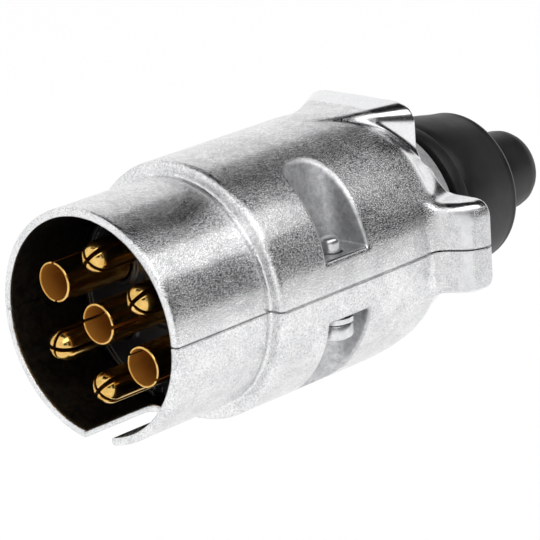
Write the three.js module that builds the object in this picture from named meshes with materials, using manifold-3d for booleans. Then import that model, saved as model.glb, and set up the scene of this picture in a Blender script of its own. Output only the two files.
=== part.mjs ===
// Seven-pole metal trailer plug: two die-cast shell halves held by two long screws, a moulded
// insert with four split pins and three tubes, their terminal screws, an inner cable clamp and a
// rubber cable boot.  Millimetres.  The origin is the centre of the mouth, +X runs along the
// plug's axis to the cable end, +Z is up through the latch lug, and the key slot is at the bottom.
import * as THREE from 'three';
import { mergeVertices } from 'three/addons/utils/BufferGeometryUtils.js';
import Module from 'manifold-3d';

const wasm = await Module();
wasm.setup();

// ---- driving dimensions -------------------------------------------------------------------
const GAP = 0.3;                 // clearance kept between touching pieces
const SEAM = GAP / 2;            // half of the gap along the split line
const SIDES = 40;                // segments round the shells
const SMALL_SIDES = 16;          // segments round contacts and screws

const NOSE_R = 18.5;             // outside of the nose
const NOSE_BORE = 17.2;
const NOSE_END = 20.3;           // shoulder between nose and body
const BODY_R = 20.7;
const BODY_BORE = 18.4;
const TAPER_START = 50;          // the body rounds in from here
const TAPER_ARC = 42.6;
const REAR_CHAMFER = 58.6;       // a polished cone runs from here to the rear edge
const SHELL_END = 63.8;          // rear edge, behind the ears
const SHELL_END_R = 17;
const COLLAR_END = 68.5;
const COLLAR_R = 15;
const BOOT_HOLE = 11.3;
const EDGE = 0.5;                // chamfer on the body's front edge
const REAR_WALL = { start: 54, end: 61, r: 16.3 };       // the bore closes in over the cable clamp
const BOOT_GROOVE = { front: 62.3, rear: 65.2, r: 14.1, lipR: 12.2 };   // holds the boot's flange

const KEY_HALF = 2.9;            // key slot in the bottom of the nose
const KEY_END = 14.6;

const POCKET = { front: 31.5, rear: 40.9, floor: 5, inner: 13.3, top: 10.9, topZ: 18, wall: 1.2 };
const SCREW = { x: 36, y: 16.7, shank: 1.75, hole: 2.05, tip: 7.4, head: 2.9, headDeep: 2.4,
  slot: 0.8, slotDeep: 1, washer: 0.8, washerR: 3.1 };

const EAR = { reach: 26, half: 7.5, tipR: 2.2, rootR: 6.8, rootY: 19.4, start: 54 };
const EAR_PLAN = [[54.5, 12], [56.3, 19.8], [60, 25.7], [61.2, 26], [SHELL_END, 26.1]];
// latch lug on top: its flat crown widens and climbs from front to rear
const LUG = { front: 52.9, frontHalf: 2, frontTop: 20.5, shoulderHalf: 4.4, shoulder: 19.9,
  half: 11.5, top: 21.3, cornerR: 2.7, root: 8 };

const INSERT = { face: 15, r: 16.6, flange: 22.3, flangeR: 18, back: 25.3, end: 27.9, tailR: 16.4 };
const GROOVE = { front: 22, rear: 25.6, ribEnd: 27.6, ribR: 17 };
const PLATE = { start: 28.2, end: 29.8, r: 16.2 };
const PITCH_R = 10.3;            // circle of the six outer contacts
const CONTACT = { barrel: 2.8, barrelEnd: 48, collarR: 3.9, collar: 25.9, collarEnd: 27.6,
  wireBore: 1.6, wireDepth: 9 };
const PIN = { r: 2.55, tip: 0.7, slot: 0.6, slotEnd: 12 };
const TUBE = { r: 3.25, bore: 2.8, tip: 1.9, slot: 0.5, slotEnd: 11 };
const TERMINAL = { x: 45, hole: 1.6, shank: 1.3, reach: 2.2, head: 1.9, headDeep: 1.6 };
const PLATE_SCREW = { r: 12.8, shank: 1.3, hole: 1.6, tip: 20, head: 2.2, headDeep: 1.8 };

const CLAMP = { x0: 51, x1: 57, foot: -4, thick: 1.8, half: 14, arch: 5, screwY: 11, bossR: 3.3 };
const CLAMP_SCREW = { shank: 1.6, hole: 1.9, tip: -11.5, head: 2.9, headDeep: 2 };

const BOOT = { flange: 62.6, flangeR: 13.8, neck: 64.9, neckR: 10.9, ring: 70.6, ringR: 14.3,
  edge: 86.4, edgeR: 12.8, nozzleR: 6.9, end: 101.2, bore: 4.5, inside: 8.6, insideEnd: 82 };

// angle of each outer contact, from the -Y side towards +Z, and its kind
const CONTACTS = [
  { name: 'tube_contact_centre', angle: 0, pitch: 0, kind: 'tube', slotTurn: 0, screwAngle: 60 },
  { name: 'pin_contact_right', angle: 30, pitch: PITCH_R, kind: 'pin', slotTurn: 45 },
  { name: 'pin_contact_top', angle: 90, pitch: PITCH_R, kind: 'pin', slotTurn: 45 },
  { name: 'tube_contact_left', angle: 150, pitch: PITCH_R, kind: 'tube', slotTurn: 90 },
  { name: 'pin_contact_left', angle: 210, pitch: PITCH_R, kind: 'pin', slotTurn: 5 },
  { name: 'pin_contact_bottom', angle: 270, pitch: PITCH_R, kind: 'pin', slotTurn: 45 },
  { name: 'tube_contact_right', angle: 330, pitch: PITCH_R, kind: 'tube', slotTurn: 30 },
];
const SIDE_NAMES = { '-1': 'right', 1: 'left' };   // seen from the mouth with the key slot down

// ---- solids -------------------------------------------------------------------------------
function solid(geometry) {
  const bare = geometry.clone();
  bare.deleteAttribute('normal');
  bare.deleteAttribute('uv');
  const merged = mergeVertices(bare, 1e-4);
  return new wasm.Manifold(new wasm.Mesh({
    numProp: 3,
    vertProperties: new Float32Array(merged.attributes.position.array),
    triVerts: new Uint32Array(merged.index.array),
  }));
}

function geometryOf(manifold) {
  const mesh = manifold.getMesh();
  const geometry = new THREE.BufferGeometry();
  geometry.setAttribute('position', new THREE.BufferAttribute(mesh.vertProperties, 3));
  geometry.setIndex(new THREE.BufferAttribute(mesh.triVerts, 1));
  geometry.computeVertexNormals();
  return geometry;
}

const join = (first, ...others) => others.reduce((sum, other) => sum.add(other), first);
const cut = (body, ...tools) => tools.reduce((left, tool) => left.subtract(tool), body);

// a profile of [x, radius] points turned round the X axis
function turned(profile, sides = SIDES) {
  const points = profile.map(([x, radius]) => new THREE.Vector2(radius, x));
  const geometry = new THREE.LatheGeometry([...points, points[0]], sides);
  geometry.rotateX(Math.PI / 2);
  geometry.rotateY(Math.PI / 2);
  return solid(geometry);
}

function rod(x0, x1, radius, sides = SMALL_SIDES) {
  return turned([[x0, 0], [x0, radius], [x1, radius], [x1, 0]], sides);
}

// an upright rod along Z
function post(x, y, z0, z1, radius, sides = SMALL_SIDES) {
  const geometry = new THREE.CylinderGeometry(radius, radius, z1 - z0, sides);
  geometry.rotateX(Math.PI / 2);
  geometry.translate(x, y, (z0 + z1) / 2);
  return solid(geometry);
}

function block(x0, x1, y0, y1, z0, z1) {
  const geometry = new THREE.BoxGeometry(x1 - x0, y1 - y0, z1 - z0);
  geometry.translate((x0 + x1) / 2, (y0 + y1) / 2, (z0 + z1) / 2);
  return solid(geometry);
}

// an outline of [y, z] points pulled along X
function alongX(outline, x0, x1) {
  const shape = new THREE.Shape(outline.map(([y, z]) => new THREE.Vector2(y, z)));
  const geometry = new THREE.ExtrudeGeometry(shape, { depth: x1 - x0, bevelEnabled: false });
  geometry.rotateX(Math.PI / 2);
  geometry.rotateZ(Math.PI / 2);
  geometry.translate(x0, 0, 0);
  return solid(geometry);
}

// an outline of [x, y] points pulled along Z
function alongZ(outline, z0, z1) {
  const shape = new THREE.Shape(outline.map(([x, y]) => new THREE.Vector2(x, y)));
  const geometry = new THREE.ExtrudeGeometry(shape, { depth: z1 - z0, bevelEnabled: false });
  geometry.translate(0, 0, z0);
  return solid(geometry);
}

// points of an arc about (cu, cv), both ends included, angles in degrees
function arc(cu, cv, radius, from, to, steps) {
  return Array.from({ length: steps + 1 }, (_, i) => {
    const angle = THREE.MathUtils.degToRad(from + ((to - from) * i) / steps);
    return [cu + radius * Math.cos(angle), cv + radius * Math.sin(angle)];
  });
}

const moved = (body, x, y, z) => body.translate([x, y, z]);
const turnedAboutX = (body, degrees) => body.rotate([degrees, 0, 0]);

// ---- shells -------------------------------------------------------------------------------
const taperRadius = (x) => BODY_R - (x > TAPER_START ? (x - TAPER_START) ** 2 / (2 * TAPER_ARC) : 0);

// outside profile behind the shoulder, and the bore behind the insert, both from front to rear
const outerProfile = [
  [NOSE_END, BODY_R - EDGE], [NOSE_END + EDGE, BODY_R],
  ...[TAPER_START, 53, 56, REAR_CHAMFER].map((x) => [x, taperRadius(x)]), [SHELL_END, SHELL_END_R],
];
const rearBore = [
  [GROOVE.ribEnd, BODY_BORE], [REAR_WALL.start, BODY_BORE], [REAR_WALL.end, REAR_WALL.r],
  [REAR_WALL.end, BOOT_GROOVE.lipR], [BOOT_GROOVE.front, BOOT_GROOVE.lipR],
  [BOOT_GROOVE.front, BOOT_GROOVE.r], [BOOT_GROOVE.rear, BOOT_GROOVE.r],
  [BOOT_GROOVE.rear, BOOT_HOLE], [COLLAR_END, BOOT_HOLE],
];

function shellBody() {
  return turned([
    [0, NOSE_BORE], [0, NOSE_R], [NOSE_END, NOSE_R], ...outerProfile, [COLLAR_END, COLLAR_R],
    ...[...rearBore].reverse(),
    [GROOVE.ribEnd, GROOVE.ribR], [GROOVE.rear, GROOVE.ribR], [GROOVE.rear, BODY_BORE],
    [GROOVE.front, BODY_BORE], [GROOVE.front, NOSE_BORE],
  ]);
}

// everything inside the shell that ears, lugs and pocket walls must not fill
function shellHollow() {
  return turned([[GROOVE.ribEnd, 0], ...rearBore, [COLLAR_END, 0]]);
}

// the two side ears: a rear outline with rounded tips, sloped in front
function ears() {
  const { reach, half, tipR, rootR, rootY, start } = EAR;
  const side = (s) => {
    const tip = arc(s * (reach - tipR), half - tipR, tipR, s > 0 ? 0 : 180, 90, 3);
    const root = arc(s * rootY, half + rootR, rootR, -90, s > 0 ? -180 : 0, 4);
    const upper = [...tip, ...root];
    const lower = upper.map(([y, z]) => [y, -z]).reverse();
    const outline = [...upper, ...lower];
    return alongX(s > 0 ? outline : outline.reverse(), start, SHELL_END);
  };
  const plan = [...EAR_PLAN, ...EAR_PLAN.map(([x, y]) => [x, -y]).reverse()];
  return join(side(1), side(-1)).intersect(alongZ(plan, -NOSE_R, NOSE_R));
}

function latchLug() {
  const { front, frontHalf, frontTop, shoulderHalf, shoulder, half, top, cornerR, root } = LUG;
  const frontSection = [[shoulderHalf, root], [shoulderHalf, shoulder], [frontHalf, frontTop]];
  const rearSection = [[half, root], ...arc(half - cornerR, top - cornerR, cornerR, 0, 90, 4)];
  const corners = (section, x) => section.flatMap(([y, z]) => [[x, y, z], [x, -y, z]]);
  return wasm.Manifold.hull([...corners(frontSection, front), ...corners(rearSection, SHELL_END)]);
}

// plan of a screw pocket on the right side, grown by a wall
function pocketWedge(grow, z0) {
  const { front, rear, inner, top, topZ } = POCKET;
  const outline = [
    [-24, z0], [-24, 22], [-(top - grow), 22], [-(top - grow), topZ],
    [-(inner - grow), POCKET.floor], ...(z0 < POCKET.floor ? [[-(inner - grow), z0]] : []),
  ];
  return alongX(outline.reverse(), front - grow, rear + grow);
}

function mirrored(body, sideY, sideZ) {
  let result = body;
  if (sideY > 0) result = result.mirror([0, 1, 0]);
  if (sideZ < 0) result = result.mirror([0, 0, 1]);
  return result;
}

function shell(sideZ) {
  const outside = turned([[NOSE_END, 0], ...outerProfile, [SHELL_END, 0]]);
  let body = shellBody().add(cut(ears(), shellHollow()));
  if (sideZ > 0) body = body.add(cut(latchLug(), shellHollow()));
  for (const sideY of [-1, 1]) {
    // walls round the pocket, and the solid pad that the long screw goes through
    const wall = mirrored(pocketWedge(POCKET.wall, 0), sideY, sideZ).intersect(outside);
    const pocket = mirrored(pocketWedge(0, POCKET.floor), sideY, sideZ);
    const hole = sideZ > 0 ? SCREW.shank + GAP : SCREW.hole;
    body = cut(body.add(wall), pocket, post(SCREW.x, sideY * SCREW.y, -10, 10, hole));
  }
  if (sideZ < 0) {
    // cable saddle with two screw bosses
    const saddle = block(CLAMP.x0 + 1, CLAMP.x1 - 1, -15, 15, -20, CLAMP.foot - GAP);
    const bosses = [-1, 1].map((s) => post((CLAMP.x0 + CLAMP.x1) / 2, s * CLAMP.screwY, -20,
      CLAMP.foot - GAP, CLAMP.bossR));
    const cable = rod(CLAMP.x0 - 1, CLAMP.x1 + 1, CLAMP.arch);
    body = body.add(cut(join(saddle, ...bosses).intersect(outside), cable));
    for (const s of [-1, 1]) {
      body = cut(body, post((CLAMP.x0 + CLAMP.x1) / 2, s * CLAMP.screwY, CLAMP_SCREW.tip - 1, 0,
        CLAMP_SCREW.hole));
    }
    body = cut(body, block(-1, KEY_END, -KEY_HALF, KEY_HALF, -NOSE_R - 1, -10));
  }
  const half = sideZ > 0 ? block(-5, 110, -40, 40, SEAM, 40) : block(-5, 110, -40, 40, -40, -SEAM);
  return body.intersect(half);
}

// ---- insert -------------------------------------------------------------------------------
const placeOf = ({ angle, pitch }) => {
  const a = THREE.MathUtils.degToRad(angle);
  return [-pitch * Math.cos(a), pitch * Math.sin(a)];
};

function contactCarrier() {
  let body = turned([
    [INSERT.face, 0], [INSERT.face, INSERT.r - 0.6], [INSERT.face + 0.6, INSERT.r],
    [INSERT.flange, INSERT.r], [INSERT.flange, INSERT.flangeR], [INSERT.back, INSERT.flangeR],
    [INSERT.back, INSERT.tailR], [INSERT.end, INSERT.tailR], [INSERT.end, 0],
  ]);
  body = cut(body, block(INSERT.face - 1, KEY_END + 2.4, -KEY_HALF, KEY_HALF, -18, -14.4));
  for (const contact of CONTACTS) {
    const [y, z] = placeOf(contact);
    const hole = (contact.kind === 'tube' ? TUBE.r : PIN.r) + GAP;
    body = cut(body,
      moved(rod(INSERT.face - 1, INSERT.end + 1, hole), 0, y, z),
      moved(rod(CONTACT.collar - GAP, INSERT.end + 1, CONTACT.collarR + GAP), 0, y, z));
  }
  for (const angle of [120, 300]) {
    const [y, z] = placeOf({ angle, pitch: PLATE_SCREW.r });
    body = cut(body, moved(rod(PLATE_SCREW.tip - 1, INSERT.end + 1, PLATE_SCREW.hole, 12), 0, y, z));
  }
  return body;
}

function retainingPlate() {
  let body = rod(PLATE.start, PLATE.end, PLATE.r, 32);
  for (const contact of CONTACTS) {
    const [y, z] = placeOf(contact);
    body = cut(body, moved(rod(PLATE.start - 1, PLATE.end + 1, CONTACT.barrel + GAP), 0, y, z));
  }
  for (const angle of [120, 300]) {
    const [y, z] = placeOf({ angle, pitch: PLATE_SCREW.r });
    body = cut(body, moved(rod(PLATE.start - 1, PLATE.end + 1, PLATE_SCREW.hole, 12), 0, y, z));
  }
  return body;
}

// a screw along X: head at the rear, driver slot in it
function plateScrew(angle) {
  const headFrom = PLATE.end + GAP;
  const headTo = headFrom + PLATE_SCREW.headDeep;
  const [y, z] = placeOf({ angle, pitch: PLATE_SCREW.r });
  const body = turned([[PLATE_SCREW.tip, 0], [PLATE_SCREW.tip, PLATE_SCREW.shank],
    [headFrom, PLATE_SCREW.shank], [headFrom, PLATE_SCREW.head], [headTo - 0.4, PLATE_SCREW.head],
    [headTo, PLATE_SCREW.head - 0.4], [headTo, 0]], 12);
  return moved(cut(body, block(headTo - 0.8, headTo + 1, -0.35, 0.35, -4, 4)), 0, y, z);
}

// turns something that points up so that it points the way of the contact's screw
const outwards = (body, spec) => turnedAboutX(body, 90 - (spec.screwAngle ?? spec.angle));

function contact(spec) {
  const { barrel, barrelEnd, collarR, collar, collarEnd, wireBore, wireDepth } = CONTACT;
  const tail = [[collar, collarR], [collarEnd, collarR], [collarEnd, barrel],
    [barrelEnd - 0.4, barrel], [barrelEnd, barrel - 0.4], [barrelEnd, wireBore],
    [barrelEnd - wireDepth, wireBore], [barrelEnd - wireDepth - 0.8, 0]];
  let body;
  if (spec.kind === 'pin') {
    const dome = [10, 35, 60, 85].map((t) => {
      const a = THREE.MathUtils.degToRad(t);
      return [PIN.tip + PIN.r * (1 - Math.cos(a)), PIN.r * Math.sin(a)];
    });
    body = turned([[PIN.tip, 0], ...dome, [collar, PIN.r], ...tail], SMALL_SIDES);
    const slot = block(-1, PIN.slotEnd, -PIN.r - 1, PIN.r + 1, -PIN.slot / 2, PIN.slot / 2);
    body = cut(body, turnedAboutX(slot, spec.slotTurn), turnedAboutX(slot, spec.slotTurn + 90));
  } else {
    body = turned([[22, 0], [22, TUBE.bore], [TUBE.tip, TUBE.bore], [TUBE.tip, TUBE.r - 0.2],
      [TUBE.tip + 0.4, TUBE.r], [collar, TUBE.r], ...tail], SMALL_SIDES);
    const slot = block(-1, TUBE.slotEnd, -TUBE.r - 1, TUBE.r + 1, -TUBE.slot / 2, TUBE.slot / 2);
    body = cut(body, turnedAboutX(slot, spec.slotTurn));
  }
  const drill = outwards(post(TERMINAL.x, 0, 0, 6, TERMINAL.hole, 12), spec);
  const [y, z] = placeOf(spec);
  return moved(cut(body, drill), 0, y, z);
}

// a terminal screw points at the contact's axis from outside
function terminalScrew(spec) {
  const { x, shank, reach, head, headDeep } = TERMINAL;
  const seat = CONTACT.barrel + GAP;
  const body = join(post(x, 0, CONTACT.barrel - reach, seat + 0.1, shank, 12),
    post(x, 0, seat, seat + headDeep, head, 16));
  const slotted = cut(body, block(x - 4, x + 4, -0.3, 0.3, seat + headDeep - 0.7, 9));
  const [y, z] = placeOf(spec);
  return moved(outwards(slotted, spec), 0, y, z);
}

// ---- screws, clamp and boot ---------------------------------------------------------------
function shellScrew(sideY) {
  const { x, y, shank, tip, head, headDeep, slot, slotDeep, washer } = SCREW;
  const seat = -POCKET.floor - 2 * GAP - washer;
  const body = join(post(x, sideY * y, seat - 0.1, tip, shank),
    post(x, sideY * y, seat - headDeep, seat, head));
  return cut(body, block(x - 4, x + 4, sideY * y - slot / 2, sideY * y + slot / 2, -20,
    seat - headDeep + slotDeep));
}

function shellWasher(sideY) {
  const top = -POCKET.floor - GAP;
  return cut(post(SCREW.x, sideY * SCREW.y, top - SCREW.washer, top, SCREW.washerR),
    post(SCREW.x, sideY * SCREW.y, top - 2, top + 1, SCREW.hole));
}

function clampBar() {
  const { x0, x1, foot, thick, half, arch, screwY } = CLAMP;
  const crown = arch + thick;
  const start = THREE.MathUtils.radToDeg(Math.asin((foot + thick) / crown));
  const low = THREE.MathUtils.radToDeg(Math.asin(foot / arch));
  const outline = [[-half, foot], [-half, foot + thick],
    ...arc(0, 0, crown, 180 - start, start, 12), [half, foot + thick], [half, foot],
    ...arc(0, 0, arch, low, 180 - low, 12)];
  const bar = alongX(outline.reverse(), x0, x1);
  const holes = [-1, 1].map((s) => post((x0 + x1) / 2, s * screwY, foot - 1, foot + thick + 1,
    CLAMP_SCREW.hole));
  return cut(bar, ...holes);
}

function clampScrew(sideY) {
  const x = (CLAMP.x0 + CLAMP.x1) / 2;
  const y = sideY * CLAMP.screwY;
  const seat = CLAMP.foot + CLAMP.thick + GAP;
  const top = seat + CLAMP_SCREW.headDeep;
  const body = join(post(x, y, CLAMP_SCREW.tip, seat + 0.1, CLAMP_SCREW.shank),
    post(x, y, seat, top, CLAMP_SCREW.head));
  return cut(body, block(x - 4, x + 4, y - 0.4, y + 0.4, top - 0.9, top + 2));
}

function cableBoot() {
  const b = BOOT;
  return turned([
    [b.flange, b.inside], [b.flange, b.flangeR], [b.neck, b.flangeR], [b.neck, b.neckR],
    [b.ring, b.neckR], [b.ring, b.ringR - 0.4], [b.ring + 0.4, b.ringR], [73.2, b.ringR],
    [78, 13.8], [83, 13.2], [b.edge, b.edgeR], [b.edge + 0.4, 11], [b.edge + 1, b.nozzleR + 0.6],
    [b.edge + 1.6, b.nozzleR], [98.6, b.nozzleR - 0.2], [100.4, b.nozzleR - 0.9],
    [b.end, b.nozzleR - 1.5], [b.end, b.bore], [b.insideEnd + 4, b.bore],
    [b.insideEnd, b.inside],
  ], 28);
}

// ---- the model ----------------------------------------------------------------------------
const group = new THREE.Group();
group.name = 'trailer_plug';

const LOOKS = {
  castMetal: { color: 0xc9cbce, roughness: 0.38, metalness: 1 },
  brass: { color: 0xd9a441, roughness: 0.22, metalness: 1 },
  steel: { color: 0xb8bcc2, roughness: 0.35, metalness: 1 },
  moulding: { color: 0x17181b, roughness: 0.35, metalness: 0 },
  rubber: { color: 0x1d1d1f, roughness: 0.7, metalness: 0 },
};

function place(name, body, look) {
  const mesh = new THREE.Mesh(geometryOf(body), new THREE.MeshStandardMaterial(LOOKS[look]));
  mesh.name = name;
  group.add(mesh);
}

place('lower_shell', shell(-1), 'castMetal');
place('upper_shell', shell(1), 'castMetal');
place('contact_carrier', contactCarrier(), 'moulding');
place('carrier_retaining_plate', retainingPlate(), 'moulding');
place('plate_screw_upper', plateScrew(120), 'steel');
place('plate_screw_lower', plateScrew(300), 'steel');
for (const spec of CONTACTS) {
  place(spec.name, contact(spec), 'brass');
  place(`terminal_screw_${spec.name.replace('_contact', '')}`, terminalScrew(spec), 'steel');
}
for (const sideY of [-1, 1]) {
  place(`shell_screw_${SIDE_NAMES[sideY]}`, shellScrew(sideY), 'steel');
  place(`shell_washer_${SIDE_NAMES[sideY]}`, shellWasher(sideY), 'steel');
  place(`clamp_screw_${SIDE_NAMES[sideY]}`, clampScrew(sideY), 'steel');
}
place('cable_clamp_bar', clampBar(), 'steel');
place('cable_boot', cableBoot(), 'rubber');

export default group;
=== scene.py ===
"""Looks of the seven-pole metal trailer plug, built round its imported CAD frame.

Lengths in this script are millimetres unless a name says otherwise; every mesh is scaled to
metres once, when it is made.  +X runs from the mouth to the cable end, +Z up through the latch
lug, and -Y is the side that faces the camera.
"""
import math

import bmesh
import bpy
import numpy as np
from mathutils import Matrix, Vector


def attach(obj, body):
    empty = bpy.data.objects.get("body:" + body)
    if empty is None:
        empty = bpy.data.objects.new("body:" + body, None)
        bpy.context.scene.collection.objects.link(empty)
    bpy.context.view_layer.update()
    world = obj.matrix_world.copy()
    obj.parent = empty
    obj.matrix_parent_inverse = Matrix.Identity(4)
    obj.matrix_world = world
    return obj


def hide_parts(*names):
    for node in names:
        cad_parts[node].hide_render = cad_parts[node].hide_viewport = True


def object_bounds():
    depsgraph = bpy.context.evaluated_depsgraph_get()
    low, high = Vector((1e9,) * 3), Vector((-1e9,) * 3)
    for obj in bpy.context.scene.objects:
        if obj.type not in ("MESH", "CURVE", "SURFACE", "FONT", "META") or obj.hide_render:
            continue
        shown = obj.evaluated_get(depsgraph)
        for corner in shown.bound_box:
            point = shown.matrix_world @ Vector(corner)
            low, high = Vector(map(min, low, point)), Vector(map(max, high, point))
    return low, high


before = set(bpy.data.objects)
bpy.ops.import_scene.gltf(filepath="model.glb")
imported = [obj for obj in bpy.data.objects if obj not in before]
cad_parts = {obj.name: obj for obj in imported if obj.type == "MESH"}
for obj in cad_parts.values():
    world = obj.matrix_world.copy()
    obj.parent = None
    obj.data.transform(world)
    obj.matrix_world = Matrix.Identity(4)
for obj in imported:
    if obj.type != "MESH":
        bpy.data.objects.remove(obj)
cad_low, cad_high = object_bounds()

MM = 0.001

# ---- sizes, the same as the CAD frame's --------------------------------------------------
NOSE_R, NOSE_BORE, NOSE_END = 18.5, 17.2, 20.3
BODY_R, BODY_BORE = 20.7, 18.4
TAPER_START, TAPER_ARC = 50.0, 42.6
REAR_CHAMFER, SHELL_END, SHELL_END_R = 58.6, 63.8, 17.0
COLLAR_END, COLLAR_R, BOOT_HOLE = 68.5, 15.0, 11.3
KEY_HALF, KEY_END = 2.9, 14.6
SEAM, SEAM_CLOSED = 0.12, 0.015  # half of the gap at the split line, outside and deeper in
SEAM_DEPTH = 0.35                # where the gap starts to close
POCKET_FRONT, POCKET_REAR, POCKET_FLOOR = 31.5, 40.9, 5.0
SCREW_X, SCREW_Y, SCREW_HOLE_R = 36.0, 16.7, 2.05
PITCH_R = 10.3                   # circle of the six outer contacts
PLATE_SCREW_PITCH = 12.8
PIN_R, TUBE_R, TUBE_BORE = 2.55, 3.25, 2.85
INSERT_FACE, INSERT_R = 15.0, 16.6
REAR_WALL_START, REAR_WALL_END, REAR_WALL_R = 54, 61, 16.3
LIP_R, GROOVE_START, GROOVE_END, GROOVE_R = 12.2, 62.3, 65.2, 14.1
EAR_REACH, EAR_HALF, EAR_ROOT_R, EAR_ROOT_Y, EAR_ROOT_Z = 26.0, 7.5, 6.8, 19.4, 14.3
LUG_FRONT, LUG_CROWN, LUG_HALF = 52.9, 20.45, 11.5
CLAMP_X, CLAMP_SCREW_Y, SADDLE_TOP, SADDLE_R = 54, 11, -4.3, 5.0


# ---- shapes as distance fields -----------------------------------------------------------
def rounded_max(a, b, k):
    """Both fields at once (an intersection), with the corner between them rounded over k."""
    return np.maximum(a, b) + np.maximum(k - np.abs(a - b), 0) ** 2 / (4 * k)


def rounded_min(a, b, k):
    """Either field (a union), with a fillet of about k between them."""
    return -rounded_max(-a, -b, k)


def cylinder(u, v, radius):
    return np.sqrt(u * u + v * v) - radius


def inside_polygon(u, v, points):
    """Signed distance to a closed polygon in the (u, v) plane, negative inside."""
    u, v = np.broadcast_arrays(u, v)
    nearest = np.full(u.shape, 1e9, np.float32)
    inside = np.zeros(u.shape, bool)
    for (u0, v0), (u1, v1) in zip(points, points[1:] + points[:1]):
        du, dv = u1 - u0, v1 - v0
        share = np.clip(((u - u0) * du + (v - v0) * dv) / (du * du + dv * dv), 0, 1)
        nearest = np.minimum(nearest, (u - u0 - share * du) ** 2 + (v - v0 - share * dv) ** 2)
        crosses = (v0 > v) != (v1 > v)
        if dv:
            inside ^= crosses & (u < u0 + (v - v0) / dv * du)
    return np.where(inside, -1, 1) * np.sqrt(nearest)


def taper_radius(x):
    return BODY_R - np.maximum(x - TAPER_START, 0) ** 2 / (2 * TAPER_ARC)


# ---- dual contouring ---------------------------------------------------------------------
def gradient(field, points, reach):
    """Unit gradient of the field at points, from differences over +-reach."""
    slopes = []
    for axis in range(3):
        offset = np.zeros(3)
        offset[axis] = reach
        ahead, behind = (points + offset).T, (points - offset).T
        slopes.append(field(*ahead) - field(*behind))
    slopes = np.stack(slopes, 1)
    return slopes / np.maximum(np.linalg.norm(slopes, axis=1), 1e-9)[:, None]


def contour(field, low, high, step, soften):
    """Vertices, quads and normals of the surface field = 0, with crisp corners.

    soften is how far, in mm, the normals blur across a corner, which reads as a worn edge."""
    axes = [lo + np.arange(int(math.ceil((hi - lo) / s)) + 1) * s
            for lo, hi, s in zip(low, high, step)]
    grid = np.meshgrid(*axes, indexing="ij", sparse=True)
    values = field(*grid).astype(np.float64)
    inside = values < 0
    shape = np.array(values.shape)
    cells_shape = shape - 1
    crossings, edges = [], []
    for axis in range(3):
        near = [slice(None)] * 3
        far = [slice(None)] * 3
        near[axis], far[axis] = slice(None, -1), slice(1, None)
        near, far = tuple(near), tuple(far)
        at = np.argwhere(inside[near] != inside[far])
        a, b = values[near][tuple(at.T)], values[far][tuple(at.T)]
        start = np.stack([axes[i][at[:, i]] for i in range(3)], 1)
        lower, upper = np.zeros(len(at)), np.full(len(at), float(step[axis]))
        for _ in range(3):                   # false position, since the field isn't linear
            where = lower + (upper - lower) * np.clip(a / (a - b), 0.02, 0.98)
            point = start.copy()
            point[:, axis] += where
            value = field(*point.T)
            same = (value < 0) == (a < 0)
            lower, a = np.where(same, where, lower), np.where(same, value, a)
            upper, b = np.where(same, upper, where), np.where(same, b, value)
        point = start.copy()
        point[:, axis] += lower + (upper - lower) * np.clip(a / (a - b), 0, 1)
        crossings.append(point)
        edges.append((axis, at, inside[near][tuple(at.T)]))
    points = np.concatenate(crossings)
    normals = gradient(field, points, 0.02)

    cell_lists, quads = [], []
    for axis, at, starts_inside in edges:
        u, v = (axis + 1) % 3, (axis + 2) % 3
        around = []
        for du, dv in ((-1, -1), (0, -1), (0, 0), (-1, 0)):
            cell = at.copy()
            cell[:, u] += du
            cell[:, v] += dv
            around.append(np.ravel_multi_index(cell.T, cells_shape))
        around = np.stack(around, 1)
        cell_lists.append(around)
        quads.append(np.where(starts_inside[:, None], around, around[:, ::-1]))
    owners = np.concatenate(cell_lists)
    cells, index = np.unique(owners, return_inverse=True)
    index = index.reshape(-1)
    of_point = np.repeat(np.arange(len(points)), 4)
    count = np.bincount(index)
    total = lambda weights: np.bincount(index, weights[of_point], len(cells))
    middle = np.stack([total(points[:, i]) for i in range(3)], 1) / count[:, None]
    plane = np.einsum("ij,ij->i", normals, points)
    square = np.zeros((len(cells), 3, 3))
    for i in range(3):
        for j in range(i, 3):
            square[:, i, j] = square[:, j, i] = total(normals[:, i] * normals[:, j])
    right = np.stack([total(normals[:, i] * plane) for i in range(3)], 1)
    right -= np.einsum("nij,nj->ni", square, middle)
    pull = 0.06 * count[:, None, None] * np.eye(3)
    moved = np.linalg.solve(square + pull, right[:, :, None])[:, :, 0]
    corner = np.stack(np.unravel_index(cells, cells_shape), 1)
    cell_low = np.stack([axes[i][corner[:, i]] for i in range(3)], 1)
    vertices = np.clip(middle + moved, cell_low, cell_low + np.array(step))
    faces = index.reshape(-1, 4)
    ends = np.cumsum([len(at) for _, at, _ in edges])[:-1]
    faces = np.concatenate([np.where(starts_inside[:, None], part, part[:, ::-1])
                            for (_, _, starts_inside), part in zip(edges, np.split(faces, ends))])
    return vertices, faces, gradient(field, vertices, soften)


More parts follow.
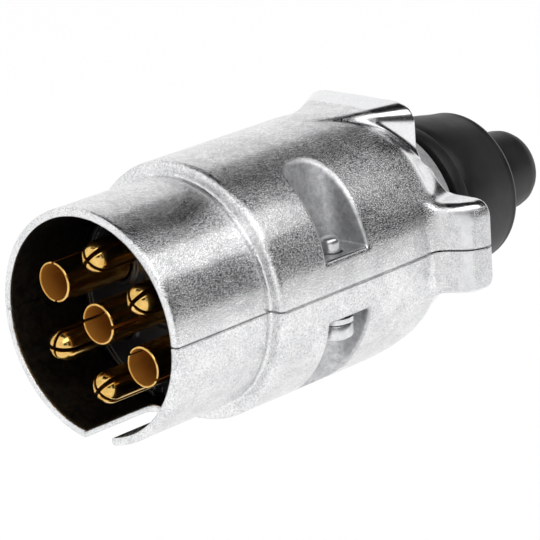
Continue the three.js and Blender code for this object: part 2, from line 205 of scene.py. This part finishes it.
def mesh_piece(name, vertices, faces, normals=None, marks=None):
    """A mesh object from arrays in mm.  marks are named values per vertex for its material."""
    mesh = bpy.data.meshes.new(name)
    mesh.vertices.add(len(vertices))
    mesh.vertices.foreach_set("co", (np.asarray(vertices) * MM).astype(np.float32).ravel())
    sizes = [len(face) for face in faces]
    mesh.loops.add(sum(sizes))
    mesh.loops.foreach_set("vertex_index", np.concatenate([np.asarray(f) for f in faces])
                           .astype(np.int32))
    mesh.polygons.add(len(sizes))
    mesh.polygons.foreach_set("loop_start", np.concatenate([[0], np.cumsum(sizes)[:-1]])
                              .astype(np.int32))
    mesh.update(calc_edges=True)
    mesh.validate()
    mesh.polygons.foreach_set("use_smooth", np.ones(len(mesh.polygons), bool))
    if normals is not None and len(mesh.vertices) == len(normals):
        mesh.normals_split_custom_set_from_vertices(normals.tolist())
    for mark, values in (marks or {}).items():
        attribute = mesh.attributes.new(mark, "FLOAT", "POINT")
        attribute.data.foreach_set("value", np.asarray(values, np.float32))
    piece = bpy.data.objects.new(name, mesh)
    bpy.context.scene.collection.objects.link(piece)
    return piece


def field_piece(name, field, low, high, step, soften=0.08, marks=None):
    if isinstance(step, (int, float)):
        step = (step,) * 3
    vertices, faces, normals = contour(field, low, high, step, soften)
    vertices = np.clip(vertices, np.array(cad_low) / MM, np.array(cad_high) / MM)
    values = {mark: value(vertices, normals) for mark, value in (marks or {}).items()}
    return mesh_piece(name, vertices, faces, normals, values)


def lathe_piece(name, profile, axis, centre, sides=96, sharp_deg=28, marks=None):
    """A closed profile of (along, radius) points turned round an axis through centre."""
    along = Vector(axis).normalized()
    across = along.orthogonal().normalized()
    third = along.cross(across)
    rings, vertices = [], []
    for distance, radius in profile:
        foot = Vector(centre) + along * distance
        if radius < 1e-6:
            rings.append([len(vertices)] * sides)
            vertices.append(foot)
            continue
        rings.append(list(range(len(vertices), len(vertices) + sides)))
        for i in range(sides):
            a = 2 * math.pi * i / sides
            vertices.append(foot + (across * math.cos(a) + third * math.sin(a)) * radius)
    faces = []
    for ring, following in zip(rings, rings[1:] + rings[:1]):
        for i in range(sides):
            j = (i + 1) % sides
            face = list(dict.fromkeys([ring[i], ring[j], following[j], following[i]]))
            if len(face) > 2:
                faces.append(face)
    vertices = np.array([tuple(v) for v in vertices])
    piece = mesh_piece(name, vertices, faces, None,
                       {mark: value(vertices) for mark, value in (marks or {}).items()})
    mesh = piece.data
    edit = bmesh.new()
    edit.from_mesh(mesh)
    bmesh.ops.recalc_face_normals(edit, faces=edit.faces)
    edit.to_mesh(mesh)
    edit.free()
    mesh.set_sharp_from_angle(angle=math.radians(sharp_deg))
    return piece


# ---- shell halves ------------------------------------------------------------------------
def shell_outside(x, y, z):
    """The turned outside: nose, shoulder groove, body, worn-smooth shiny rear cone and collar."""
    r = np.sqrt(y * y + z * z)
    nose = rounded_max(r - NOSE_R, -x, 0.7)
    nose = rounded_max(nose, x - 25, 0.1)
    relief = 0.42 - np.sqrt((x - 19.75) ** 2 + (r - 18.75) ** 2)
    nose = rounded_max(nose, relief, 0.3)
    body = rounded_max(r - taper_radius(x), NOSE_END - x, 1.1)
    rear_cone = (r - SHELL_END_R - (SHELL_END - x) * 0.53) * 0.883
    body = rounded_max(body, rear_cone, 0.35)
    body = rounded_max(body, x - SHELL_END, 0.45)
    collar = rounded_max((r - COLLAR_R - (COLLAR_END - x) * 0.34) * 0.947, x - COLLAR_END, 0.6)
    collar = np.maximum(collar, 60 - x)
    return rounded_min(rounded_min(nose, body, 0.25), collar, 0.2)


def shell_bore(x, y, z):
    """Everything hollow along the axis: nose bore, insert groove, body bore, boot groove."""
    r = np.sqrt(y * y + z * z)
    profile = [(-2, 0), (-2, NOSE_BORE), (22, NOSE_BORE), (22, BODY_BORE), (25.6, BODY_BORE),
               (25.6, 17), (27.6, 17), (27.6, BODY_BORE), (REAR_WALL_START, BODY_BORE),
               (REAR_WALL_END, REAR_WALL_R), (REAR_WALL_END, LIP_R), (GROOVE_START, LIP_R),
               (GROOVE_START, GROOVE_R), (GROOVE_END, GROOVE_R), (GROOVE_END, BOOT_HOLE),
               (70, BOOT_HOLE), (70, 0)]
    return inside_polygon(x, r, profile)


def ear_field(x, y, z):
    """One pair of side ears: level top and bottom, a concave root and a sloped front."""
    side, height = np.abs(y), np.abs(z)
    root = EAR_ROOT_R - np.sqrt((side - EAR_ROOT_Y) ** 2 + (height - EAR_ROOT_Z) ** 2)
    root = np.maximum(root, height - 10.5)
    level = np.where(side > EAR_ROOT_Y, height - EAR_HALF, root)
    outline = rounded_max(level, side - EAR_REACH, 3.0)
    front = -0.848 * (x - 60) + 0.532 * (side - 25.7)
    return rounded_max(rounded_max(outline, front, 2.2), x - SHELL_END, 0.7)


def lug_field(x, y, z):
    """The latch lug: a crown that climbs and widens to the rear, with rounded shoulders."""
    side = -0.546 * (x - SHELL_END) + 0.838 * (np.abs(y) - LUG_HALF)
    crown = z - LUG_CROWN - 0.075 * (x - LUG_FRONT) + 0.002 * y * y
    shoulder = 0.9 + 0.24 * np.clip(x - LUG_FRONT, 0, 12)
    lug = np.maximum(side, crown) + np.maximum(shoulder - np.abs(side - crown), 0) ** 2 / (
        4 * shoulder)
    return rounded_max(rounded_max(lug, x - SHELL_END, 0.6), 9 - z, 0.3)


def pocket_field(x, y, z, floor=POCKET_FLOOR, grow=0.0):
    """A screw pocket on both sides of the upper half: flat ledge, leaning inner wall."""
    wall = -(np.abs(y) - 13.0 + (z - 5) * 0.235 + grow) * 0.973
    plan = rounded_max(wall, x - POCKET_REAR - grow, 4.2)
    plan = rounded_max(plan, POCKET_FRONT - grow + 0.09 * (z - 5) - x, 3.6)
    return rounded_max(plan, floor - z, 0.35)


def shell_field(side_z):
    """Distance field of one shell half: side_z is 1 for the upper and -1 for the lower."""
    def field(x, y, z):
        up = z * side_z
        outer = shell_outside(x, y, z)
        ears_and_body = rounded_min(outer, ear_field(x, y, z), 1.9)
        if side_z > 0:
            ears_and_body = rounded_min(ears_and_body, lug_field(x, y, z), 1.0)
        metal = np.maximum(ears_and_body, -shell_bore(x, y, z))
        pad = np.maximum(np.maximum(pocket_field(x, y, up, 0.0, 1.2), outer), -up)
        metal = np.minimum(metal, pad)
        metal = rounded_max(metal, -pocket_field(x, y, up), 0.75)
        hole = cylinder(x - SCREW_X, np.abs(y) - SCREW_Y, SCREW_HOLE_R)
        metal = np.maximum(metal, -np.maximum(hole, up - 9))
        if side_z < 0:
            slot = rounded_max(np.abs(y) - KEY_HALF, x - KEY_END, 1.6)
            slot = np.maximum(slot, z + 10)
            metal = rounded_max(metal, -slot, 0.35)
            to_screw = np.abs(y) - CLAMP_SCREW_Y
            saddle = np.maximum(np.abs(x - CLAMP_X) - 2,
                                np.maximum(np.abs(y) - 15, z - SADDLE_TOP))
            boss = np.maximum(cylinder(x - CLAMP_X, to_screw, 3.3), z - SADDLE_TOP)
            saddle = np.maximum(np.minimum(saddle, boss), outer)
            saddle = np.maximum(saddle, -cylinder(y, z, SADDLE_R))
            metal = np.minimum(metal, saddle)
            thread = np.maximum(cylinder(x - CLAMP_X, to_screw, 1.9), -12.5 - z)
            metal = np.maximum(metal, -np.maximum(thread, z))
        closed = np.clip((-SEAM_DEPTH - outer) / 0.15, 0, 1)
        gap = SEAM - (SEAM - SEAM_CLOSED) * closed
        return rounded_max(metal, gap - up, 0.12)
    return field


def wear_and_rim_highlight(side_z):
    """Where the tumbled skin is worn smooth on the rear cone, and a painted highlight along the
    pockets' rims.
    """
    def value(vertices, normals):
        x, y, z = vertices.T
        r = np.sqrt(y * y + z * z)
        rear = np.clip((x - REAR_CHAMFER + 0.5) / 0.8, 0, 1) * np.clip((r - 16.6) / 0.3, 0, 1)
        flat_face = np.clip((np.abs(normals[:, 0]) - 0.8) / 0.1, 0, 1) * (x > 50)
        flat_face = np.maximum(flat_face, (np.abs(normals[:, 1]) > 0.8) * (np.abs(y) > 21))
        # painted highlight: a bright band along the pockets' rims
        rim = pocket_field(x, y, z * side_z)
        rim = (rim > -0.35) & (rim < 0.35) & (r > 19.3) & (x < 45)
        return np.clip(rear - flat_face, 0, 1) + rim
    return value


def matt_and_shade_faces(side_z):
    """Matt as-cast faces, their darker grey partly painted shade: pocket walls and ledge, collar
    cone, and partly the ears.
    """
    def value(vertices, normals):
        x, y, z = vertices.T
        r = np.sqrt(y * y + z * z)
        up = z * side_z
        pocket = pocket_field(x, y, up, grow=0.25) < 0.1
        collar = (x > 63.9) & (r > 12)
        ear = (x > 56) & (np.abs(y) > 20.3) & (normals[:, 2] * side_z < 0.6)
        pocket &= pocket_field(x, y, up) > -0.2
        return np.maximum((pocket | collar) * 1.0, ear * 0.45)
    return value


def painted_shade_bore(vertices, normals):
    """The bore's walls, given painted shade: dark in the mouth, partly darkened behind the insert's
    face.
    """
    x, y, z = vertices.T
    r = np.sqrt(y * y + z * z)
    pocket = np.minimum(pocket_field(x, y, z, grow=0.5), pocket_field(x, y, -z, grow=0.5))
    # painted shade on the bore's walls: full strength in the mouth, 0.3 behind the insert's face
    shaded_wall = (shell_bore(x, y, z) < 0.12) & (x > 0.4) & (pocket > 0.4)
    return shaded_wall * np.where(x < INSERT_FACE + 0.4, 1.0, 0.3)


STEP = 0.34
upper_shell = field_piece("upper_shell_casting", shell_field(1), (-0.9, -26.9, -0.6),
                          (69.4, 26.9, 22.3), STEP, marks={
                              "polish_and_highlight": wear_and_rim_highlight(1), "matt_and_shade": matt_and_shade_faces(1), "bore": painted_shade_bore})
lower_shell = field_piece("lower_shell_casting", shell_field(-1), (-0.9, -26.9, -21.6),
                          (69.4, 26.9, 0.6), STEP, marks={
                              "polish_and_highlight": wear_and_rim_highlight(-1), "matt_and_shade": matt_and_shade_faces(-1), "bore": painted_shade_bore})

# ---- contacts ----------------------------------------------------------------------------
# name, angle round the axis from the -Y side towards +Z, turn of its slot, screw's angle
PINS = [("pin_contact_right", 30, 45), ("pin_contact_top", 90, 45),
        ("pin_contact_left", 210, 5), ("pin_contact_bottom", 270, 45)]
TUBES = [("tube_contact_centre", 0, 0), ("tube_contact_left", 150, 90),
         ("tube_contact_right", 330, 30)]


def place_of(angle, pitch=PITCH_R):
    a = math.radians(angle)
    return -pitch * math.cos(a), pitch * math.sin(a)


def contact_field(kind, slot_turn, screw_angle):
    turn, screw = math.radians(slot_turn), math.radians(screw_angle)

    def field(x, y, z):
        r = np.sqrt(y * y + z * z)
        if kind == "pin":
            dome = np.sqrt(np.minimum(x - 3.25, 0) ** 2 + r * r) - PIN_R
            body = np.maximum(dome, x - 27)
        else:
            body = rounded_max(rounded_max(r - TUBE_R, 1.9 - x, 0.35), x - 27, 0.1)
            body = rounded_max(body, -np.maximum(r - TUBE_BORE, x - 22), 0.2)
        across = y * math.sin(turn) - z * math.cos(turn)
        along = y * math.cos(turn) + z * math.sin(turn)
        half, end = (0.3, 12) if kind == "pin" else (0.22, 11)
        slit = np.maximum(np.abs(across) - half, x - end)
        if kind == "pin":
            slit = np.minimum(slit, np.maximum(np.abs(along) - half, x - end))
        body = rounded_max(body, -slit, 0.22)
        collar = rounded_max(r - 3.9, np.abs(x - 26.75) - 0.85, 0.3)
        barrel = rounded_max(r - 2.8, np.abs(x - 37.5) - 10.5, 0.5)
        metal = np.minimum(np.minimum(body, collar), barrel)
        metal = rounded_max(metal, -np.maximum(r - 1.6, 39 - x), 0.3)
        outwards = -y * math.cos(screw) + z * math.sin(screw)
        sideways = y * math.sin(screw) + z * math.cos(screw)
        drill = np.maximum(cylinder(x - 45, sideways, 1.6), -outwards)
        return rounded_max(metal, -drill, 0.2)
    return field


contacts = {}
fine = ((0.3, 0.15, 0.15))
for kind, rows in (("pin", PINS), ("tube", TUBES)):
    for name, angle, slot_turn in rows:
        centre = name == "tube_contact_centre"
        y0, z0 = (0, 0) if centre else place_of(angle)
        base = contact_field(kind, slot_turn, 60 if centre else angle)
        shifted = lambda x, y, z, base=base, y0=y0, z0=z0: base(x, y - y0, z - z0)
        reach = 4.2
        # painted shade: marks the tube contacts' bores, which the brass paints a darker brown
        tube_bore_shade = lambda v, n, kind=kind, y0=y0, z0=z0: float(kind == "tube") * (
            (np.hypot(v[:, 1] - y0, v[:, 2] - z0) < TUBE_BORE + 0.1) & (v[:, 0] < 22.2))
        contacts[name] = field_piece(name + "_turned", shifted, (0.2, y0 - reach, z0 - reach),
                                     (48.5, y0 + reach, z0 + reach), fine, 0.05, {"bore": tube_bore_shade})


# ---- contact carrier ---------------------------------------------------------------------
def carrier_field(x, y, z):
    r = np.sqrt(y * y + z * z)
    front = rounded_max(r - INSERT_R, INSERT_FACE - x, 0.9)
    front = np.maximum(front, x - 27.9)
    dish = np.maximum(r - 15.5, x - INSERT_FACE - 0.5)       # shallow dish inside the rim
    front = rounded_max(front, -dish, 0.25)
    flange = rounded_max(r - 18.0, np.abs(x - 23.8) - 1.5, 0.3)
    body = np.minimum(front, flange)
    key = np.maximum(np.abs(y) - KEY_HALF, np.maximum(x - 17, z + 14.4))
    body = np.maximum(body, -key)
    for name, angle, *_ in PINS + TUBES:
        y0, z0 = (0, 0) if name == "tube_contact_centre" else place_of(angle)
        radius = TUBE_R if name.startswith("tube") else PIN_R
        near = np.sqrt((y - y0) ** 2 + (z - z0) ** 2)
        boss = rounded_max(near - radius - 1.0, INSERT_FACE + 0.15 - x, 0.3)
        body = rounded_min(body, np.maximum(boss, x - 18), 0.3)
        body = rounded_max(body, -(near - radius - 0.15), 0.2)
        body = np.maximum(body, -np.maximum(near - 4.2, 25.6 - x))
    for angle in (120, 300):
        y0, z0 = place_of(angle, PLATE_SCREW_PITCH)
        body = np.maximum(body, -np.maximum(cylinder(y - y0, z - z0, 1.6), 19 - x))
    return body


carrier = field_piece("contact_carrier_moulding", carrier_field, (14.4, -18.6, -18.6),
                      (28.5, 18.6, 18.6), 0.32, soften=0.06)

# ---- cable boot --------------------------------------------------------------------------
boot = lathe_piece("cable_boot_rubber", [
    (62.6, 8.6), (62.6, 13.4), (62.8, 13.8), (64.6, 13.8), (64.9, 13.5), (64.9, 10.9),
    (70.6, 10.9), (70.6, 13.9), (70.75, 14.2), (71.1, 14.35), (72.8, 14.4), (73.05, 14.3),
    (73.2, 14.15), (73.35, 14.25), (75, 14.25), (77, 14.1), (79, 13.9), (81, 13.6),
    (83, 13.25), (85, 12.95), (86.2, 12.75), (86.35, 12.8), (86.5, 12.75), (86.55, 12.5),
    (86.8, 11.6), (87.2, 9.6), (87.5, 8.2), (87.9, 7.4), (88.6, 7.0), (92, 6.95),
    (98.2, 6.85), (99.4, 6.6), (100.3, 6.1), (100.9, 5.5), (101.1, 5.0), (101.1, 4.7),
    (100.8, 4.5), (86, 4.5), (82, 8.6)], (1, 0, 0), (0, 0, 0), 128, 40,
    # painted highlight: a light grey line on the ridge at the boot's rear edge
    {"flash_line_highlight": lambda v: (np.abs(v[:, 0] - 86.35) < 0.1) * 1.0})


# ---- long screws, washers and the small screws ------------------------------------------
def threaded(start, end, root, crest, pitch):
    """Ridges of a thread as (along, radius) points from start to end."""
    points, at = [], start
    while at + pitch <= end:
        points += [(at, root), (at + pitch * 0.35, crest), (at + pitch * 0.55, crest),
                   (at + pitch * 0.9, root)]
        at += pitch
    return points


screws = {}
for side, sign in (("right", -1), ("left", 1)):
    profile = [(-8.8, 0), (-8.8, 2.3), (-8.55, 2.75), (-8.2, 2.9), (-6.6, 2.9), (-6.4, 2.75),
               (-6.4, 1.75)]
    profile += threaded(-3.0, 4.4, 1.5, 1.75, 0.7)
    profile += [(4.6, 1.6), (5.6, 1.62), (6.4, 1.6), (6.9, 1.5), (7.2, 1.25), (7.36, 0.9), (7.4, 0)]
    screws[side] = lathe_piece(f"shell_screw_{side}_steel", profile, (0, 0, 1),
                               (SCREW_X, sign * SCREW_Y, 0), 40, 50)


# ---- materials ---------------------------------------------------------------------------
class Nodes:
    """A short way to write a material's nodes."""

    def __init__(self, name):
        self.material = bpy.data.materials.new(name)
        self.material.use_nodes = True
        self.tree = self.material.node_tree
        self.shader = self.tree.nodes["Principled BSDF"]
        coordinates = self.tree.nodes.new("ShaderNodeTexCoord")
        self.place = coordinates.outputs["Object"]

    def link(self, output, target):
        self.tree.links.new(output, target)

    def noise(self, per_metre, detail=3.0, roughness=0.6, distortion=0.0, stretch=None):
        node = self.tree.nodes.new("ShaderNodeTexNoise")
        node.inputs["Scale"].default_value = per_metre
        node.inputs["Detail"].default_value = detail
        node.inputs["Roughness"].default_value = roughness
        node.inputs["Distortion"].default_value = distortion
        self.link(self.stretched(stretch), node.inputs["Vector"])
        return node.outputs["Fac"]

    def stretched(self, stretch):
        if stretch is None:
            return self.place
        mapping = self.tree.nodes.new("ShaderNodeMapping")
        mapping.inputs["Scale"].default_value = stretch
        self.link(self.place, mapping.inputs["Vector"])
        return mapping.outputs["Vector"]

    def mark(self, name):
        node = self.tree.nodes.new("ShaderNodeAttribute")
        node.attribute_name = name
        return node.outputs["Fac"]

    def ramp(self, value, *stops):
        node = self.tree.nodes.new("ShaderNodeValToRGB")
        ramp = node.color_ramp
        while len(ramp.elements) < len(stops):
            ramp.elements.new(0.5)
        for element, (at, colour) in zip(ramp.elements, stops):
            element.position = at
            element.color = (*colour, 1)
        self.link(value, node.inputs["Fac"])
        return node.outputs["Color"]

    def range(self, value, low, high, to_low, to_high):
        node = self.tree.nodes.new("ShaderNodeMapRange")
        node.inputs["From Min"].default_value = low
        node.inputs["From Max"].default_value = high
        node.inputs["To Min"].default_value = to_low
        node.inputs["To Max"].default_value = to_high
        self.link(value, node.inputs["Value"])
        return node.outputs["Result"]

    def maths(self, operation, a, b):
        node = self.tree.nodes.new("ShaderNodeMath")
        node.operation = operation
        for value, socket in ((a, node.inputs[0]), (b, node.inputs[1])):
            if isinstance(value, (int, float)):
                socket.default_value = value
            else:
                self.link(value, socket)
        return node.outputs["Value"]

    def mix(self, share, a, b):
        node = self.tree.nodes.new("ShaderNodeMix")
        node.data_type = "RGBA"
        for value, socket in ((share, node.inputs["Factor"]), (a, node.inputs[6]),
                              (b, node.inputs[7])):
            if isinstance(value, (int, float)):
                socket.default_value = value
            elif isinstance(value, tuple):
                socket.default_value = (*value, 1)
            else:
                self.link(value, socket)
        return node.outputs[2]

    def bump(self, height, strength, distance):
        node = self.tree.nodes.new("ShaderNodeBump")
        if isinstance(strength, (int, float)):
            node.inputs["Strength"].default_value = strength
        else:
            self.link(strength, node.inputs["Strength"])
        node.inputs["Distance"].default_value = distance
        self.link(height, node.inputs["Height"])
        return node.outputs["Normal"]

    def set(self, **values):
        for name, value in values.items():
            socket = self.shader.inputs[name.replace("_", " ")]
            if isinstance(value, (int, float)):
                socket.default_value = value
            elif isinstance(value, tuple):
                socket.default_value = (*value, 1)
            else:
                self.link(value, socket)
        return self.material


def cast_metal():
    """Tumbled die-cast zinc: sparkling grain, rear edges worn smooth with a painted highlight on
    the pockets' rims, rough as-cast faces darkened partly as painted shade, and painted shade on
    the bore's walls.
    """
    n = Nodes("tumbled_cast_metal")
    grain = n.noise(4200, 2.5, 0.65, 0.5)
    pits = n.range(grain, 0.50, 0.60, 0, 1)
    chips = n.range(n.noise(7500, 1.5, 0.6, 0.3), 0.53, 0.60, 0, 1)
    waves = n.noise(620, 2, 0.5)
    broad = n.noise(95, 3, 0.55)
    polish_and_highlight, matt_and_shade, bore = n.mark("polish_and_highlight"), n.mark("matt_and_shade"), n.mark("bore")
    strength = n.maths("MULTIPLY", n.range(polish_and_highlight, 0, 1, 1, 0.10),
                       n.range(broad, 0.3, 0.7, 0.75, 1.1))
    height = n.maths("ADD", pits, n.maths("MULTIPLY", chips, 0.9))
    height = n.maths("ADD", height, n.maths("MULTIPLY", waves, 1.2))
    normal = n.bump(height, n.maths("MULTIPLY", strength, 0.30), 0.00005)
    colour = n.ramp(grain, (0.38, (0.29, 0.295, 0.305)), (0.49, (0.72, 0.725, 0.735)),
                    (0.60, (0.97, 0.97, 0.97)))
    stain = n.ramp(n.noise(210, 5, 0.7, 0.8), (0.40, (0.74, 0.745, 0.755)), (0.58, (1.0, 1.0, 1.0)))
    colour = n.mix(0.45, colour, stain)
    # lighter colour for the worn rear cone, and a painted highlight on the pockets' rims
    colour = n.mix(n.maths("MULTIPLY", polish_and_highlight, 0.8), colour, (0.86, 0.865, 0.875))
    blotch = n.noise(800, 6, 0.75, 0.5)
    # darker grey on the as-cast faces: partly their own tone, partly painted shade in the pockets,
    # the collar's crease and the ears' sides
    colour = n.mix(n.maths("MULTIPLY", matt_and_shade, 0.8), colour,
                   n.ramp(blotch, (0.34, (0.34, 0.345, 0.355)), (0.50, (0.52, 0.525, 0.535)),
                          (0.66, (0.70, 0.705, 0.71))))
    rough = n.range(grain, 0.35, 0.65, 0.21, 0.12)
    rough = n.maths("ADD", rough, n.maths("MULTIPLY", matt_and_shade, 0.26))
    rough = n.maths("ADD", rough, n.maths("MULTIPLY", polish_and_highlight, 0.04))
    # painted shade: a near-black colour mixed into the bore's walls by the bore mark
    wall = n.ramp(blotch, (0.35, (0.03, 0.028, 0.026)), (0.65, (0.10, 0.09, 0.08)))
    colour = n.mix(bore, colour, wall)
    rough = n.maths("ADD", rough, n.maths("MULTIPLY", bore, 0.2))
    return n.set(Base_Color=colour, Metallic=1.0, Roughness=rough, Normal=normal)


def brass():
    n = Nodes("turned_brass")
    rings = n.noise(900, 3, 0.6, 0.0, (6.0, 0.35, 0.35))
    spots = n.noise(700, 3, 0.6, 0.4)
    colour = n.ramp(spots, (0.30, (0.62, 0.36, 0.085)), (0.55, (0.84, 0.54, 0.17)),
                    (0.75, (0.93, 0.66, 0.26)))
    # painted shade: the tube bores get a darker, less metallic brown
    inside = n.mark("bore")
    colour = n.mix(inside, colour, (0.55, 0.24, 0.035))
    rough = n.maths("ADD", n.range(spots, 0.3, 0.7, 0.20, 0.11), n.maths("MULTIPLY", inside, 0.3))
    normal = n.bump(rings, 0.16, 0.00006)
    return n.set(Base_Color=colour, Metallic=n.range(inside, 0, 1, 1, 0.6), Roughness=rough,
                 Normal=normal)


def moulding():
    n = Nodes("glossy_black_moulding")
    flow = n.noise(160, 3, 0.6, 0.8)
    fine = n.noise(2600, 2, 0.5)
    colour = n.ramp(flow, (0.3, (0.004, 0.004, 0.005)), (0.7, (0.012, 0.012, 0.014)))
    rough = n.range(flow, 0.3, 0.7, 0.14, 0.24)
    normal = n.bump(fine, 0.06, 0.00008)
    return n.set(Base_Color=colour, Roughness=rough, Normal=normal, Specular_IOR_Level=0.5)


def rubber():
    n = Nodes("matt_black_rubber")
    mottle = n.noise(260, 4, 0.6)
    fine = n.noise(3600, 2, 0.6)
    colour = n.ramp(mottle, (0.3, (0.006, 0.006, 0.0065)), (0.7, (0.011, 0.011, 0.012)))
    # painted highlight: the ridge at the boot's rear edge is painted light grey
    colour = n.mix(n.mark("flash_line_highlight"), colour, (0.16, 0.16, 0.16))
    rough = n.range(mottle, 0.3, 0.7, 0.42, 0.54)
    normal = n.bump(fine, 0.10, 0.0001)
    return n.set(Base_Color=colour, Roughness=rough, Normal=normal, Specular_IOR_Level=0.38)


def steel():
    n = Nodes("zinc_plated_steel")
    mottle = n.noise(800, 3, 0.6)
    colour = n.ramp(mottle, (0.3, (0.62, 0.63, 0.64)), (0.7, (0.84, 0.845, 0.85)))
    rough = n.range(mottle, 0.3, 0.7, 0.38, 0.24)
    normal = n.bump(n.noise(4200, 2, 0.5), 0.12, 0.00008)
    return n.set(Base_Color=colour, Metallic=1.0, Roughness=rough, Normal=normal)


LOOKS = {"cast_metal": cast_metal(), "brass": brass(), "moulding": moulding(),
         "rubber": rubber(), "steel": steel()}


def dress(piece, look, body, *nodes):
    piece.data.materials.clear()
    piece.data.materials.append(LOOKS[look])
    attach(piece, body)
    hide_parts(*nodes)


dress(upper_shell, "cast_metal", "upper_half", "upper_shell")
dress(lower_shell, "cast_metal", "lower_half", "lower_shell")
for name, piece in contacts.items():
    dress(piece, "brass", "contact_insert", name)
dress(carrier, "moulding", "contact_insert", "contact_carrier")
dress(boot, "rubber", "lower_half", "cable_boot")
for side, piece in screws.items():
    dress(piece, "steel", f"long_screw_{side}", f"shell_screw_{side}")

for name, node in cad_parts.items():
    if node.hide_render:
        continue
    look = "moulding" if name == "carrier_retaining_plate" else "steel"
    for slot in range(max(1, len(node.material_slots))):
        if not node.material_slots:
            node.data.materials.append(LOOKS[look])
        node.material_slots[slot].material = LOOKS[look]

# ---- camera ------------------------------------------------------------------------------
AZIMUTH, ELEVATION, ROLL = -46.2962, 17.3371, -3.8489      # degrees
DISTANCE, ASIDE, ABOVE = 476.76, 27.06, 8.645              # mm from the mouth's centre
LENS = 213.07
a, e, roll = (math.radians(v) for v in (AZIMUTH, ELEVATION, ROLL))
back = Vector((math.sin(a) * math.cos(e), -math.cos(a) * math.cos(e), math.sin(e)))
right = Vector((0, 0, 1)).cross(back).normalized()
up = back.cross(right)
camera_x = right * math.cos(roll) + up * math.sin(roll)
camera_y = up * math.cos(roll) - right * math.sin(roll)
camera = bpy.data.objects.new("camera", bpy.data.cameras.new("camera"))
camera.data.sensor_width = 36
camera.data.lens = LENS
camera.data.clip_start, camera.data.clip_end = 0.01, 20
camera.matrix_world = Matrix((camera_x, camera_y, back)).transposed().to_4x4()
camera.location = (back * DISTANCE + camera_x * ASIDE + camera_y * ABOVE) * MM
bpy.context.scene.collection.objects.link(camera)
bpy.context.scene.camera = camera

# ---- floor, light and reflection boards --------------------------------------------------
scene = bpy.context.scene
scene.view_settings.view_transform = "Standard"
world = bpy.data.worlds.new("studio")
scene.world = world
world.use_nodes = True
world.node_tree.nodes["Background"].inputs["Color"].default_value = (1, 1, 1, 1)
world.node_tree.nodes["Background"].inputs["Strength"].default_value = 1.0


def board(name, corners, colour, strength=0.0):
    """A flat board in metres: a pale floor, or a card that only reflections show."""
    mesh = bpy.data.meshes.new(name)
    mesh.from_pydata(corners, [], [tuple(range(len(corners)))])
    piece = bpy.data.objects.new(name, mesh)
    scene.collection.objects.link(piece)
    material = bpy.data.materials.new(name)
    material.use_nodes = True
    shader = material.node_tree.nodes["Principled BSDF"]
    shader.inputs["Base Color"].default_value = (*colour, 1)
    shader.inputs["Roughness"].default_value = 0.9
    shader.inputs["Specular IOR Level"].default_value = 0.0
    if strength:
        shader.inputs["Emission Color"].default_value = (1, 1, 1, 1)
        shader.inputs["Emission Strength"].default_value = strength
    piece.data.materials.append(material)
    return piece


FLOOR_Z = -0.11                  # metres; far enough below to leave no shadow by the plug
board("floor", [(-6, -6, FLOOR_Z), (6, -6, FLOOR_Z), (6, 6, FLOOR_Z), (-6, 6, FLOOR_Z)],
      (0.97, 0.97, 0.97))


def card(name, from_deg, to_deg, radius, grey, strength=0.0, x0=-0.25, x1=1.6):
    """A long card beside the plug's axis, between two angles from -Y towards +Z."""
    rows = []
    for angle, order in ((from_deg, (x0, x1)), (to_deg, (x1, x0))):
        t = math.radians(angle)
        rows += [(x, -radius * math.cos(t), radius * math.sin(t)) for x in order]
    piece = board(name, rows, (grey,) * 3, strength)
    piece.visible_camera = False
    piece.visible_diffuse = False
    piece.visible_shadow = False
    return piece


card("dark_card", 1, 42, 0.55, 0.005)
card("dark_card_middle", 40, 80, 0.55, 0.005)
card("dark_card_high", 78, 124, 0.55, 0.005)
card("light_card", 39, 66, 0.20, 0.8, 1.3, -0.25, 0.200)


def facing_card(name, direction, distance, half, grey):
    """A square dark card that faces the plug's mouth and shows only in reflections."""
    direction = Vector(direction).normalized()
    side = Vector((0, 0, 1)).cross(direction).normalized()
    rise = direction.cross(side)
    centre = direction * distance
    piece = board(name, [centre + side * u * half + rise * v * half
                         for u, v in ((-1, -1), (1, -1), (1, 1), (-1, 1))], (grey,) * 3)
    piece.visible_camera = piece.visible_diffuse = piece.visible_shadow = False


facing_card("dark_card_camera", (-0.69, -0.66, 0.40), 0.62, 0.15, 0.01)

key = bpy.data.objects.new("key_light", bpy.data.lights.new("key_light", "AREA"))
key.data.energy = 1.2
key.data.size = 0.5
key.location = (-0.35, -0.55, 0.75)
towards = Vector((0.03, 0, 0)) - Vector(key.location)
key.rotation_euler = towards.to_track_quat("-Z", "Y").to_euler()
scene.collection.objects.link(key)
